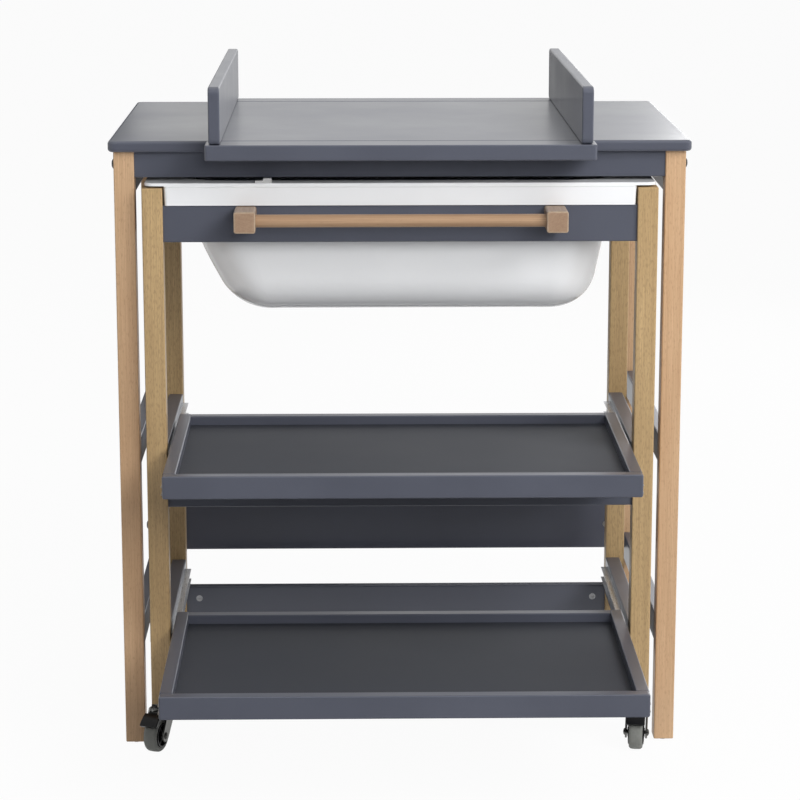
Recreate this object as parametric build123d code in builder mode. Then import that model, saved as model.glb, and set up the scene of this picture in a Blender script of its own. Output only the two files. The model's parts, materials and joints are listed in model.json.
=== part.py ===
"""Changing table with a bathtub: a fixed table, a lift-off changing frame and a bath trolley on casters."""
import os
from math import cos, radians, sin

from build123d import *

os.makedirs("parts", exist_ok=True)

# Lengths are in millimetres. X runs to the right, Y away from the person at the table, Z up.
sides = (-1, 1)
cut_overrun = 1.0
rest_gap = 0.3

# Fixed table
table_width = 820.0
table_depth = 540.0
table_height = 890.0
top_thickness = 16.0
top_corner = 10.0
top_edge = 4.5
table_leg_side = 29.0
table_leg_edge = 2.0
table_leg_foot_edge = 1.8
leg_inset_side = 7.0
leg_inset_end = 12.0
foot_pad_diameter = 13.0
foot_pad_height = 3.0
foot_pad_edge = 0.8
rail_edge = 2.0
table_rail_thickness = 18.0
apron_recess = 3.0
front_apron_height = 37.0
deep_apron_height = 60.0
side_rail_height = 40.0
side_rail_tops = (458.0, 188.0)
stretcher_top = 240.0
stretcher_height = 80.0

# Bolts that hold the cross rails between the side frames, and their barrel nuts
bolt_head_diameter = 16.0
bolt_head_height = 3.0
bolt_shank_diameter = 6.0
bolt_socket_width = 4.0
bolt_socket_depth = 2.0
bolt_reach = 38.0
bolt_clearance = 0.2
nut_diameter = 10.0
nut_length = 14.0
nut_setback = 28.0
nut_slot_width = 1.4
nut_slot_depth = 1.0
bolt_head_round_share = (0.72, 0.70)
bolt_head_flat_share = 0.42

# Changing frame that hooks over the front and rear edges of the top
mat_width = 500.0
board_thickness = 16.0
board_height = 80.0
board_corner = 9.0
board_edge = 2.5
frame_rail_height = 22.0
frame_front_depth = 52.0
frame_rear_depth = 50.0
frame_rail_overlap = 6.0
frame_rail_corner = 5.0
frame_seam = 0.5

# Bath trolley
trolley_side_gap = 11.5
trolley_depth = 410.0
trolley_proud = 12.0
trolley_leg_side = 29.0
trolley_leg_edge = 2.0
trolley_leg_top_edge = 1.8
cross_rail_thickness = 18.0
cross_rail_recess = 5.0
cross_rail_height = 56.0
upper_rail_height = 52.0
upper_rail_drop = 25.0
trolley_side_thickness = 22.0
trolley_side_height = 60.0
front_rail_under_tray = 5.0
rear_rail_under_tray = 22.0
side_rail_over_tray_bottom = 25.0
cam_diameter = 10.0
cam_depth = 10.0
cam_setback = 20.0
cam_drop = 19.0
cam_clearance = 0.1
cam_slot_width = 2.0
cam_slot_depth = 2.0
cam_slot_length_share = 0.66

# Push bar on the trolley's front
grip_block_side = 30.0
grip_block_reach = 60.0
grip_block_edge = 3.5
grip_block_inset = 116.5
grip_block_drop = 1.0
grip_bar_diameter = 18.0
grip_bar_setback = 20.0
grip_bar_socket = 12.0
grip_bar_clearance = 0.1

# Bathtub
tub_wall = 3.5
rim_thickness = 4.0
rim_gap = 5.0
rim_leg_gap = 3.0
rim_inset_side = 3.0
rim_inset_end = 1.0
rim_corner = 14.0
rim_edge = 1.6
rim_lip = 0.5
rim_blank_margin = 10.0
skirt_draft = 1.0
skirt_leg_gap = 1.5
skirt_corner = 5.0
skirt_rim_round = 3.0
skirt_seat_gap = 0.3
basin_head_margin = 44.5
basin_foot_margin = 50.5
basin_side_margin = 29.0
basin_depth = 196.0
basin_corner = 74.0
basin_corner_below = 66.0
basin_head_lean = 65.0
basin_foot_lean = 37.0
basin_side_lean = 31.0
basin_base_round = 62.0
basin_mouth_round = 2.0
drain_setback = 6.0
drain_diameter = 30.0
plug_flange_diameter = 38.0
plug_flange_thickness = 3.0
plug_knob_diameter = 12.0
plug_knob_height = 12.0
plug_waist_diameter = 7.0
plug_edge = 1.0
clip_inset = 170.0
clip_depth = 10.0
clip_block_width = 12.0
clip_block_height = 6.5
clip_tongue_length = 11.0
clip_tongue_height = 3.0
clip_edge = 0.8

# Pull-out trays
tray_depth_gap = 15.0
tray_height = 32.0
tray_border = 18.0
tray_floor_drop = 13.0
tray_floor_thickness = 6.0
tray_groove = 6.0
tray_edge = 1.8
tray_end_edge = 3.0
tray_side_gap = 5.5
tray_rebate_height = 17.5
middle_tray_bottom = 425.0
lower_tray_bottom = 156.5

# Telescopic runners of the trays
runner_width = 11.5
runner_height = 17.0
runner_setback = 20.0
runner_rear_setback = 33.0
middle_runner_overlap = 151.0
lower_runner_overlap = 15.0
runner_drop = 2.0
runner_steel = 1.0
runner_gap = 0.3
runner_lip_inset = 2.3
runner_half_share = 0.5

# Casters
caster_height = 69.0
wheel_diameter = 50.0
tread_width = 20.0
tread_round = 3.5
hub_width = 25.0
hub_diameter = 34.0
axle_diameter = 6.0
axle_clearance = 0.05
axle_head_diameter = 10.0
axle_head_height = 1.5
caster_trail = 22.0
fork_inner_width = 27.0
fork_steel = 2.5
fork_boss_diameter = 18.0
crown_diameter = 31.0
race_diameter = 30.0
race_neck_diameter = 24.0
race_height = 5.0
flange_diameter = 27.0
flange_height = 3.0
kingpin_diameter = 8.0
kingpin_head_diameter = 10.0
kingpin_head_height = 2.0
stem_length = 30.0
stem_clearance = 0.2
pedal_width = 23.0
pedal_toe_width = 27.0
pedal_gap = 4.0
pedal_thickness = 3.0
pedal_toe_thickness = 5.5
pedal_toe_edge = 1.2
crown_flat_share = 0.8
upright = 90.0
pedal_hinge_angle = -30.0
pedal_toe_start_angle = 12.0
pedal_toe_angle = 53.0
pedal_boss_diameter = 7.0
pedal_pin_diameter = 3.0
caster_yaws = {"front_left": -22.0, "front_right": -9.0, "rear_left": 14.0, "rear_right": -17.0}
braked_casters = ("front_left", "front_right")

# Places worked out from the sizes above. The origin is under the middle of the whole, with the trays out
tray_depth = trolley_depth - tray_depth_gap
runner_length = tray_depth - runner_setback - runner_rear_setback
middle_tray_out = runner_length - middle_runner_overlap
lower_tray_out = runner_length - lower_runner_overlap
front_reach = trolley_proud + lower_tray_out
rear_reach = table_depth + frame_seam + frame_rear_depth
slab_front = (front_reach - rear_reach) / 2
slab_rear = slab_front + table_depth
slab_middle = (slab_front + slab_rear) / 2
slab_under = table_height - top_thickness
rim_top = slab_under - front_apron_height - rim_gap
rim_under = rim_top - rim_thickness
trolley_leg_top = rim_under - rim_leg_gap
upper_rail_top = trolley_leg_top - upper_rail_drop
basin_bottom = rim_top - basin_depth
leg_out = table_width / 2 - leg_inset_side
leg_in = leg_out - table_leg_side
leg_front = slab_front + leg_inset_end
leg_rear = slab_rear - leg_inset_end
front_rail_y = (leg_front + apron_recess, leg_front + apron_recess + table_rail_thickness)
rear_rail_y = (leg_rear - apron_recess - table_rail_thickness, leg_rear - apron_recess)
apron_bolt_z = slab_under - front_apron_height / 2
stretcher_bolt_z = stretcher_top - stretcher_height / 2
trolley_front = slab_front - trolley_proud
trolley_rear = trolley_front + trolley_depth
trolley_middle = (trolley_front + trolley_rear) / 2
trolley_out = leg_in - trolley_side_gap
trolley_in = trolley_out - trolley_leg_side
trolley_leg_x = trolley_out - trolley_leg_side / 2
trolley_leg_ys = {
    "front": trolley_front + trolley_leg_side / 2,
    "rear": trolley_rear - trolley_leg_side / 2,
}
basin_head = trolley_out - basin_head_margin
basin_foot = trolley_out - basin_foot_margin
basin_width = trolley_depth - 2 * basin_side_margin
grip_block_x = trolley_in - grip_block_inset
clip_offset = trolley_out - clip_inset
tray_half_width = trolley_in - tray_side_gap
tray_rebate = runner_width - tray_side_gap
corners = [(end, side) for end in ("front", "rear") for side in ("left", "right")]
side_signs = {"left": -1, "right": 1}


def span(a, b):
    """The two ends of a stretch, lowest first."""
    return (min(a, b), max(a, b))


def middle(stretch):
    """The middle of a stretch."""
    return (stretch[0] + stretch[1]) / 2


def length(stretch):
    """How long a stretch is."""
    return stretch[1] - stretch[0]


def planed_bar(x_span, y_span, z_span, axis, edge):
    """Straight bar that fills three spans, with its four edges along one axis rounded."""
    if axis == "x":
        plane, across, up, run = Plane.YZ.offset(x_span[0]), y_span, z_span, length(x_span)
    elif axis == "y":
        plane, across, up, run = Plane.XZ.offset(-y_span[1]), x_span, z_span, length(y_span)
    else:
        plane, across, up, run = Plane.XY.offset(z_span[0]), x_span, y_span, length(z_span)
    with BuildPart() as bar:
        with BuildSketch(plane):
            with Locations((middle(across), middle(up))):
                RectangleRounded(length(across), length(up), edge)
        extrude(amount=run)
    return bar


def together(pieces):
    """Several separate solids of one kind, kept as one sub-part."""
    with BuildPart() as group:
        for piece in pieces:
            add(piece.part)
    return group


def keep(piece, node):
    """Names a finished sub-part and writes its file."""
    piece.part.label = node
    export_step(piece.part, f"parts/{node}.step")


def make_table_top():
    """Painted slab with rounded corners and eased edges."""
    with BuildPart() as top:
        with BuildSketch(Plane.XY.offset(slab_under)):
            with Locations((0, slab_middle)):
                RectangleRounded(table_width, table_depth, top_corner)
        extrude(amount=top_thickness)
        fillet(top.edges().group_by(Axis.Z)[-1] + top.edges().group_by(Axis.Z)[0], top_edge)
    return top


def table_leg_y(end):
    """The stretch in Y that a front or rear table leg fills."""
    if end == "front":
        return (leg_front, leg_front + table_leg_side)
    return (leg_rear - table_leg_side, leg_rear)


def bolt_points(end):
    """Where bolts pass through the front or the rear table legs, as Y and Z."""
    if end == "front":
        return [(middle(front_rail_y), apron_bolt_z)]
    return [(middle(rear_rail_y), apron_bolt_z), (middle(rear_rail_y), stretcher_bolt_z)]


def make_table_leg(end, side):
    """Square beech leg with a clearance hole for each cross bolt."""
    sign = side_signs[side]
    bar = planed_bar(span(sign * leg_in, sign * leg_out), table_leg_y(end),
                     (foot_pad_height, slab_under), "z", table_leg_edge)
    with BuildPart() as leg:
        add(bar.part)
        with BuildSketch(Plane.YZ.offset(sign * leg_out)):
            with Locations(*bolt_points(end)):
                Circle(bolt_shank_diameter / 2 + bolt_clearance)
        extrude(amount=-sign * table_leg_side, mode=Mode.SUBTRACT)
        fillet(leg.faces().sort_by(Axis.Z)[0].edges(), table_leg_foot_edge)
    return leg


def make_foot_pads():
    """Round nylon glides under the table legs."""
    with BuildPart() as pads:
        with BuildSketch(Plane.XY):
            for end, side in corners:
                x = side_signs[side] * (leg_in + leg_out) / 2
                with Locations((x, middle(table_leg_y(end)))):
                    Circle(foot_pad_diameter / 2)
        extrude(amount=foot_pad_height)
        chamfer(pads.edges().group_by(Axis.Z)[0], foot_pad_edge)
    return pads


def make_bolted_rail(y_span, z_span, bolt_z, inward):
    """Cross rail with a bolt hole in each end and a pocket for each barrel nut in its inner face."""
    bar = planed_bar((-leg_in, leg_in), y_span, z_span, "x", rail_edge)
    inner_face = y_span[1] if inward > 0 else y_span[0]
    with BuildPart() as rail:
        add(bar.part)
        for sign in sides:
            with BuildSketch(Plane.YZ.offset(sign * leg_in)):
                with Locations((middle(y_span), bolt_z)):
                    Circle(bolt_shank_diameter / 2 + bolt_clearance)
            extrude(amount=-sign * (bolt_reach + bolt_clearance), mode=Mode.SUBTRACT)
        with BuildSketch(Plane.XZ.offset(-inner_face)):
            with Locations(*[(sign * (leg_in - nut_setback), bolt_z) for sign in sides]):
                Circle(nut_diameter / 2 + bolt_clearance)
        extrude(amount=inward * (nut_length + bolt_clearance), mode=Mode.SUBTRACT)
    return rail


def make_leg_bolt():
    """Button-head bolt along X, with its head's seat at the origin."""
    radius = bolt_head_diameter / 2
    round_x, round_r = bolt_head_round_share
    flat = (bolt_head_height, radius * bolt_head_flat_share)
    tip = -(table_leg_side + bolt_reach)
    with BuildPart() as bolt:
        with BuildSketch(Plane.XY):
            with BuildLine():
                Polyline((bolt_head_height, 0), (tip, 0), (tip, bolt_shank_diameter / 2),
                         (0, bolt_shank_diameter / 2), (0, radius))
                ThreePointArc((0, radius), (bolt_head_height * round_x, radius * round_r), flat)
                Line(flat, (bolt_head_height, 0))
            make_face()
        revolve(axis=Axis.X)
        with BuildSketch(Plane.YZ.offset(bolt_head_height)):
            RegularPolygon(bolt_socket_width / 2, 6, major_radius=False)
        extrude(amount=-bolt_socket_depth, mode=Mode.SUBTRACT)
    return bolt


def make_leg_bolts():
    """The bolts through the legs into the aprons and the rear stretcher."""
    bolt = make_leg_bolt()
    with BuildPart() as bolts:
        for end, side in corners:
            turn = 0 if side == "right" else 180
            for y, z in bolt_points(end):
                with Locations(Location((side_signs[side] * leg_out, y, z), (0, 0, turn))):
                    add(bolt.part)
    return bolts


def make_barrel_nuts():
    """Slotted cross nuts in the pockets of the bolted rails."""
    rows = [(front_rail_y[1], apron_bolt_z, 1), (rear_rail_y[0], apron_bolt_z, -1),
            (rear_rail_y[0], stretcher_bolt_z, -1)]
    nut_x = leg_in - nut_setback
    with BuildPart() as nuts:
        for face_y, z, inward in rows:
            rail_middle = face_y - inward * table_rail_thickness / 2
            places = [(sign * nut_x, z) for sign in sides]
            with BuildSketch(Plane.XZ.offset(-face_y)):
                with Locations(*places):
                    Circle(nut_diameter / 2)
            extrude(amount=inward * nut_length)
            with BuildSketch(Plane.XZ.offset(-face_y)):
                with Locations(*places):
                    Rectangle(nut_diameter + cut_overrun, nut_slot_width)
            extrude(amount=inward * nut_slot_depth, mode=Mode.SUBTRACT)
            with BuildSketch(Plane.YZ.offset(-nut_x - nut_diameter)):
                with Locations((rail_middle, z)):
                    Circle(bolt_shank_diameter / 2 + bolt_clearance)
            extrude(amount=2 * (nut_x + nut_diameter), mode=Mode.SUBTRACT)
    return nuts


def make_frame_rail(y_span):
    """Rail of the changing frame that lies against the edge of the top."""
    half = mat_width / 2 + board_thickness + frame_rail_overlap
    with BuildPart() as rail:
        with BuildSketch(Plane.XY.offset(table_height - frame_rail_height)):
            with Locations((0, middle(y_span))):
                RectangleRounded(2 * half, length(y_span), frame_rail_corner)
        extrude(amount=frame_rail_height)
        fillet(rail.edges().group_by(Axis.Z)[-1] + rail.edges().group_by(Axis.Z)[0], rail_edge)
    return rail


def make_changing_board(side):
    """Upright side board, rounded at its two top corners and eased along its upper edge."""
    sign = side_signs[side]
    y_span = (slab_front - frame_seam - frame_front_depth, slab_rear + frame_seam + frame_rear_depth)
    z_span = (table_height, table_height + board_height)
    inner = sign * mat_width / 2
    with BuildPart() as board:
        with BuildSketch(Plane.YZ.offset(min(inner, inner + sign * board_thickness))) as profile:
            with Locations((middle(y_span), middle(z_span))):
                Rectangle(length(y_span), length(z_span))
            fillet(profile.vertices().group_by(Axis.Z)[-1], board_corner)
        extrude(amount=board_thickness)
        upper = board.edges().filter_by(lambda edge: edge.center().Z > table_height + board_edge)
        fillet(upper.filter_by(Axis.X, reverse=True), board_edge)
    return board


def make_trolley_leg(end, side):
    """Square trolley leg, bored from below for the caster's stem."""
    x = side_signs[side] * trolley_leg_x
    y = trolley_leg_ys[end]
    half = trolley_leg_side / 2
    bar = planed_bar((x - half, x + half), (y - half, y + half), (caster_height, trolley_leg_top),
                     "z", trolley_leg_edge)
    with BuildPart() as leg:
        add(bar.part)
        with BuildSketch(Plane.XY.offset(caster_height)):
            with Locations((x, y)):
                Circle(kingpin_diameter / 2 + stem_clearance)
        extrude(amount=stem_length + stem_clearance, mode=Mode.SUBTRACT)
        fillet(leg.faces().sort_by(Axis.Z)[-1].edges(), trolley_leg_top_edge)
    return leg


def cross_rail_y(end):
    """The stretch in Y that a front or rear cross rail of the trolley fills."""
    if end == "front":
        start = trolley_front + cross_rail_recess
        return (start, start + cross_rail_thickness)
    start = trolley_rear - cross_rail_recess
    return (start - cross_rail_thickness, start)


def cross_rail_z(level, end):
    """The stretch in Z of the trolley's cross rail at one level."""
    if level == "upper":
        return (upper_rail_top - upper_rail_height, upper_rail_top)
    tray_bottom = middle_tray_bottom if level == "middle" else lower_tray_bottom
    top = tray_bottom - (front_rail_under_tray if end == "front" else rear_rail_under_tray)
    return (top - cross_rail_height, top)


def cam_face(end):
    """The inner face of a cross rail, and the direction out of it."""
    if end == "front":
        return cross_rail_y(end)[1], 1
    return cross_rail_y(end)[0], -1


def make_cross_rail(level, end):
    """Painted cross rail with a pocket for a cam lock near each end of its inner face."""
    z_span = cross_rail_z(level, end)
    face_y, inward = cam_face(end)
    bar = planed_bar((-trolley_in, trolley_in), cross_rail_y(end), z_span, "x", rail_edge)
    with BuildPart() as rail:
        add(bar.part)
        with BuildSketch(Plane.XZ.offset(-face_y)):
            with Locations(*[(sign * (trolley_in - cam_setback), z_span[1] - cam_drop) for sign in sides]):
                Circle(cam_diameter / 2 + cam_clearance)
        extrude(amount=inward * (cam_depth + cam_clearance), mode=Mode.SUBTRACT)
    return rail


def make_cam_locks():
    """Slotted cam discs of all the trolley's cross rails, flush with the rails' inner faces."""
    with BuildPart() as cams:
        for end in ("front", "rear"):
            face_y, inward = cam_face(end)
            places = [(sign * (trolley_in - cam_setback), cross_rail_z(level, end)[1] - cam_drop)
                      for level in ("upper", "middle", "lower") for sign in sides]
            with BuildSketch(Plane.XZ.offset(-face_y)):
                with Locations(*places):
                    Circle(cam_diameter / 2)
            extrude(amount=inward * cam_depth)
            with BuildSketch(Plane.XZ.offset(-face_y)):
                with Locations(*places):
                    Rectangle(cam_diameter * cam_slot_length_share, cam_slot_width)
                    Rectangle(cam_slot_width, cam_diameter * cam_slot_length_share)
            extrude(amount=inward * cam_slot_depth, mode=Mode.SUBTRACT)
    return cams


def make_side_rails(tops, height, inner, thickness, y_span):
    """Rails on the left and right at the given top heights, with their inner faces at one X."""
    bars = []
    for top in tops:
        for sign in sides:
            x_span = span(sign * inner, sign * (inner + thickness))
            bars.append(planed_bar(x_span, y_span, (top - height, top), "y", rail_edge))
    return together(bars)


grip_face = cross_rail_y("front")[0]
grip_y = grip_face - grip_block_reach + grip_bar_setback
grip_z = upper_rail_top - grip_block_drop - grip_block_side / 2
grip_bar_half = grip_block_x - grip_block_side / 2 + grip_bar_socket


def make_grip_blocks():
    """Two wooden blocks on the upper front rail, each with a blind socket for the bar."""
    half = grip_block_side / 2
    bars = []
    for sign in sides:
        x = sign * grip_block_x
        bars.append(planed_bar((x - half, x + half), (grip_face - grip_block_reach, grip_face),
                               (grip_z - half, grip_z + half), "y", grip_block_edge))
    with BuildPart() as blocks:
        for bar in bars:
            add(bar.part)
        fillet(blocks.faces().group_by(Axis.Y)[0].edges(), grip_block_edge - rail_edge)
        socket = grip_bar_half + grip_bar_clearance
        with BuildSketch(Plane.YZ.offset(-socket)):
            with Locations((grip_y, grip_z)):
                Circle(grip_bar_diameter / 2 + grip_bar_clearance)
        extrude(amount=2 * socket, mode=Mode.SUBTRACT)
    return blocks


def make_grip_bar():
    """Round wooden bar between the two blocks."""
    with BuildPart() as bar:
        with BuildSketch(Plane.YZ.offset(-grip_bar_half)):
            with Locations((grip_y, grip_z)):
                Circle(grip_bar_diameter / 2)
        extrude(amount=2 * grip_bar_half)
    return bar


def skirt_outline(z, inset):
    """Cross-shaped outline of the tub's skirt, which leaves out the four legs, drawn at one height."""
    half_x = trolley_out - rim_inset_side - rim_lip - inset
    half_y = trolley_depth / 2 - rim_inset_end - rim_lip - inset
    between_x = trolley_in - skirt_leg_gap - inset
    between_y = trolley_depth / 2 - trolley_leg_side - skirt_leg_gap - inset
    with BuildSketch(Plane.XY.offset(z)) as outline:
        with Locations((0, trolley_middle)):
            Rectangle(2 * half_x, 2 * between_y)
            Rectangle(2 * between_x, 2 * half_y)
        fillet(outline.vertices(), skirt_corner)
    return outline


def basin_outline(z, wall, corner):
    """Rounded outline that the basin's leaning walls reach at one height, drawn in by the wall."""
    depth_share = (rim_under - z) / (rim_under - basin_bottom)
    left = -basin_head + basin_head_lean * depth_share + wall
    right = basin_foot - basin_foot_lean * depth_share - wall
    across = basin_width - 2 * (basin_side_lean * depth_share + wall)
    with BuildSketch(Plane.XY.offset(z)) as outline:
        with Locations(((left + right) / 2, trolley_middle)):
            RectangleRounded(right - left, across, corner - wall)
    return outline


def basin_form(top, wall):
    """The basin as a solid: leaning walls down to a widely rounded bottom, drawn in by the wall."""
    bottom = basin_bottom + wall
    outlines = [basin_outline(top, wall, basin_corner).sketch,
                basin_outline(bottom, wall, basin_corner_below).sketch]
    with BuildPart() as form:
        loft(outlines, ruled=True)
        fillet(form.faces().sort_by(Axis.Z)[0].edges(), basin_base_round - wall)
    return form


drain_x = basin_foot - basin_foot_lean - basin_base_round - drain_setback


def under_rim(edge):
    """Whether an edge runs where the skirt meets the underside of the rim's blank."""
    spot = edge.center()
    return (abs(spot.Z - rim_under) < skirt_seat_gap and abs(spot.X) < trolley_out
            and abs(spot.Y - trolley_middle) < trolley_depth / 2)


def make_tub():
    """Moulded tub: a flat rim, a drafted skirt between the legs and a basin that slopes most at its head."""
    seat = upper_rail_top + skirt_seat_gap
    rim_width = 2 * (trolley_out - rim_inset_side)
    rim_depth = trolley_depth - 2 * rim_inset_end
    skirt = [skirt_outline(rim_under + rim_thickness / 2, 0).sketch,
             skirt_outline(seat, skirt_draft).sketch]
    hollow = [skirt_outline(rim_under, tub_wall).sketch,
              skirt_outline(seat - cut_overrun, skirt_draft + tub_wall).sketch]
    outside = basin_form(rim_under + rim_thickness / 2, 0)
    inside = basin_form(rim_top + cut_overrun, tub_wall)
    with BuildPart() as tub:
        with BuildSketch(Plane.XY.offset(rim_under)):
            with Locations((0, trolley_middle)):
                Rectangle(rim_width + 2 * rim_blank_margin, rim_depth + 2 * rim_blank_margin)
        extrude(amount=rim_thickness)
        loft(skirt, ruled=True)
        fillet(tub.edges().filter_by(under_rim), skirt_rim_round)
        with BuildSketch(Plane.XY.offset(seat)):
            with Locations((0, trolley_middle)):
                RectangleRounded(rim_width, rim_depth, rim_corner)
        extrude(amount=rim_top - seat, mode=Mode.INTERSECT)
        fillet(tub.edges().group_by(Axis.Z)[-1], rim_edge)
        loft(hollow, ruled=True, mode=Mode.SUBTRACT)
        add(outside.part)
        add(inside.part, mode=Mode.SUBTRACT)
        mouth = tub.faces().sort_by(Axis.Z)[-1].inner_wires()[0]
        fillet(mouth.edges(), basin_mouth_round)
        with BuildSketch(Plane.XY.offset(basin_bottom)):
            with Locations((drain_x, trolley_middle)):
                Circle(drain_diameter / 2)
        extrude(amount=tub_wall + cut_overrun, both=True, mode=Mode.SUBTRACT)
    return tub


def make_drain_plug():
    """Rubber plug: a tapered stopper under a flange, with a waisted knob to pull it by."""
    stopper = drain_diameter / 2 - rest_gap
    flange = plug_flange_diameter / 2
    knob = plug_knob_diameter / 2
    waist = plug_waist_diameter / 2
    floor = tub_wall + rest_gap
    flange_top = floor + plug_flange_thickness
    waist_top = flange_top + plug_knob_height / 2
    knob_top = flange_top + plug_knob_height
    with BuildPart() as plug:
        with BuildSketch(Plane.XZ):
            with BuildLine():
                Polyline((0, 0), (stopper - plug_edge, 0), (stopper, floor), (flange, floor),
                         (flange, flange_top - plug_edge), (flange - plug_edge, flange_top),
                         (waist, flange_top), (waist, waist_top - plug_edge), (knob, waist_top),
                         (knob, knob_top - plug_edge), (knob - plug_edge, knob_top), (0, knob_top),
                         close=True)
            make_face()
        revolve(axis=Axis.Z)
    with BuildPart() as placed:
        with Locations((drain_x, trolley_middle, basin_bottom)):
            add(plug.part)
    return placed


def make_rim_clip():
    """Small clip on the front of the tub's rim: a block with a sloping tongue."""
    y_front = trolley_front + rim_inset_end + rim_edge
    tongue_end = -clip_offset - clip_tongue_length
    block_end = -clip_offset + clip_block_width
    block_top = rim_top + clip_block_height
    with BuildPart() as clip:
        with BuildSketch(Plane.XZ.offset(-y_front - clip_depth)):
            with BuildLine():
                Polyline((tongue_end, rim_top), (block_end, rim_top), (block_end, block_top),
                         (-clip_offset, block_top), (-clip_offset, rim_top + clip_block_height / 2),
                         (tongue_end, rim_top + clip_tongue_height), close=True)
            make_face()
        extrude(amount=clip_depth)
        fillet(clip.edges().filter_by(Axis.Y).group_by(Axis.Z)[-1], clip_edge)
    return clip


def tray_spans(bottom, out):
    """The stretches that a tray fills, and those of its floor panel."""
    front = trolley_front - out
    whole = ((-tray_half_width, tray_half_width), (front, front + tray_depth),
             (bottom, bottom + tray_height))
    inset = tray_border - tray_groove
    floor_top = bottom + tray_height - tray_floor_drop
    floor = ((-tray_half_width + inset, tray_half_width - inset),
             (front + inset, front + tray_depth - inset), (floor_top - tray_floor_thickness, floor_top))
    return whole, floor


def plain_block(x_span, y_span, z_span):
    """Square-edged block that fills three spans."""
    with BuildPart() as block:
        with BuildSketch(Plane.XY.offset(z_span[0])):
            with Locations((middle(x_span), middle(y_span))):
                Rectangle(length(x_span), length(y_span))
        extrude(amount=length(z_span))
    return block


def make_tray_front(bottom, out):
    """Front border of a tray, over its full width, grooved for the floor."""
    whole, floor = tray_spans(bottom, out)
    front = whole[1][0]
    bar = planed_bar(whole[0], (front, front + tray_border), whole[2], "x", tray_edge)
    groove = plain_block(*floor)
    with BuildPart() as border:
        add(bar.part)
        fillet(border.faces().filter_by(Axis.X).edges().group_by(Axis.Y)[0], tray_end_edge)
        add(groove.part, mode=Mode.SUBTRACT)
    return border


def make_tray_back(bottom, out):
    """Back border of a tray, between its side borders, grooved for the floor."""
    whole, floor = tray_spans(bottom, out)
    back = whole[1][1]
    inside = tray_half_width - tray_border
    bar = planed_bar((-inside, inside), (back - tray_border, back), whole[2], "x", tray_edge)
    groove = plain_block(*floor)
    with BuildPart() as border:
        add(bar.part)
        add(groove.part, mode=Mode.SUBTRACT)
    return border


def make_tray_sides(bottom, out):
    """Side borders of a tray, grooved for the floor and rebated below for the runners."""
    whole, floor = tray_spans(bottom, out)
    y_span = (whole[1][0] + tray_border, whole[1][1])
    bars = []
    for sign in sides:
        x_span = span(sign * tray_half_width, sign * (tray_half_width - tray_border))
        bars.append(planed_bar(x_span, y_span, whole[2], "y", tray_edge))
    cuts = [plain_block(*floor)]
    for sign in sides:
        outside = sign * (tray_half_width + cut_overrun)
        cuts.append(plain_block(span(sign * (tray_half_width - tray_rebate), outside), y_span,
                                (bottom - cut_overrun, bottom + tray_rebate_height)))
    with BuildPart() as borders:
        for bar in bars:
            add(bar.part)
        for cut in cuts:
            add(cut.part, mode=Mode.SUBTRACT)
    return borders


def make_tray_floor(bottom, out):
    """Thin floor panel held in the grooves of the borders."""
    return plain_block(*tray_spans(bottom, out)[1])


def make_runner_members(bottom, out, web, lip, height):
    """Steel channels of one size, left and right of one tray, with a web at one X and lips to another."""
    z = bottom - runner_drop + runner_height / 2
    start = trolley_front + runner_setback - out
    reach = abs(web - lip)
    with BuildPart() as members:
        with BuildSketch(Plane.XZ.offset(-start - runner_length)):
            for sign in sides:
                with Locations((sign * (web + lip) / 2, z)):
                    Rectangle(reach, height)
                toward_lip = 1 if lip > web else -1
                with Locations((sign * ((web + lip) / 2 + toward_lip * runner_steel), z)):
                    Rectangle(reach, height - 2 * runner_steel, mode=Mode.SUBTRACT)
        extrude(amount=runner_length)
    return members


runner_step = runner_steel + runner_gap


def make_outer_members(bottom):
    """Outer channels, fixed to the trolley's side rails."""
    lip = trolley_in - runner_width + runner_lip_inset
    return make_runner_members(bottom, 0, trolley_in, lip, runner_height)


def make_middle_members(bottom, out):
    """Intermediate channels, which come out half as far as the tray."""
    lip = trolley_in - runner_width + runner_lip_inset - runner_gap
    return make_runner_members(bottom, out * runner_half_share, trolley_in - runner_step, lip,
                               runner_height - 2 * runner_step)


def make_inner_members(bottom, out):
    """Inner channels, fixed in the rebates of the tray."""
    return make_runner_members(bottom, out, trolley_in - runner_width, trolley_in - 2 * runner_step,
                               runner_height - 4 * runner_step)


race_top = caster_height - flange_height
race_bottom = race_top - race_height
crown_top = race_bottom - rest_gap
crown_bottom = crown_top - fork_steel
wheel_radius = wheel_diameter / 2
fork_half = fork_inner_width / 2 + fork_steel
pedal_ring = wheel_radius + pedal_gap + pedal_thickness / 2
pedal_hinge = (-caster_trail - pedal_ring * sin(radians(pedal_hinge_angle)),
               wheel_radius + pedal_ring * cos(radians(pedal_hinge_angle)))


def make_caster_mounts():
    """Stem, flange, ball race and riveted kingpin of every caster, fixed to the legs."""
    pin = kingpin_diameter / 2
    head_top = crown_bottom - rest_gap
    head_bottom = head_top - kingpin_head_height
    with BuildPart() as mount:
        with BuildSketch(Plane.XZ):
            with BuildLine():
                Polyline((0, head_bottom), (kingpin_head_diameter / 2, head_bottom),
                         (kingpin_head_diameter / 2, head_top), (pin, head_top), (pin, race_bottom),
                         (race_diameter / 2, race_bottom), (race_neck_diameter / 2, race_top),
                         (flange_diameter / 2, race_top), (flange_diameter / 2, caster_height),
                         (pin, caster_height), (pin, caster_height + stem_length),
                         (0, caster_height + stem_length), close=True)
            make_face()
        revolve(axis=Axis.Z)
    with BuildPart() as mounts:
        for end, side in corners:
            with Locations((side_signs[side] * trolley_leg_x, trolley_leg_ys[end], 0)):
                add(mount.part)
    return mounts


def caster_place(name):
    """Where a caster stands, turned by its own yaw."""
    end, side = name.split("_")
    return Location((side_signs[side] * trolley_leg_x, trolley_leg_ys[end], 0), (0, 0, caster_yaws[name]))


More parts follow.
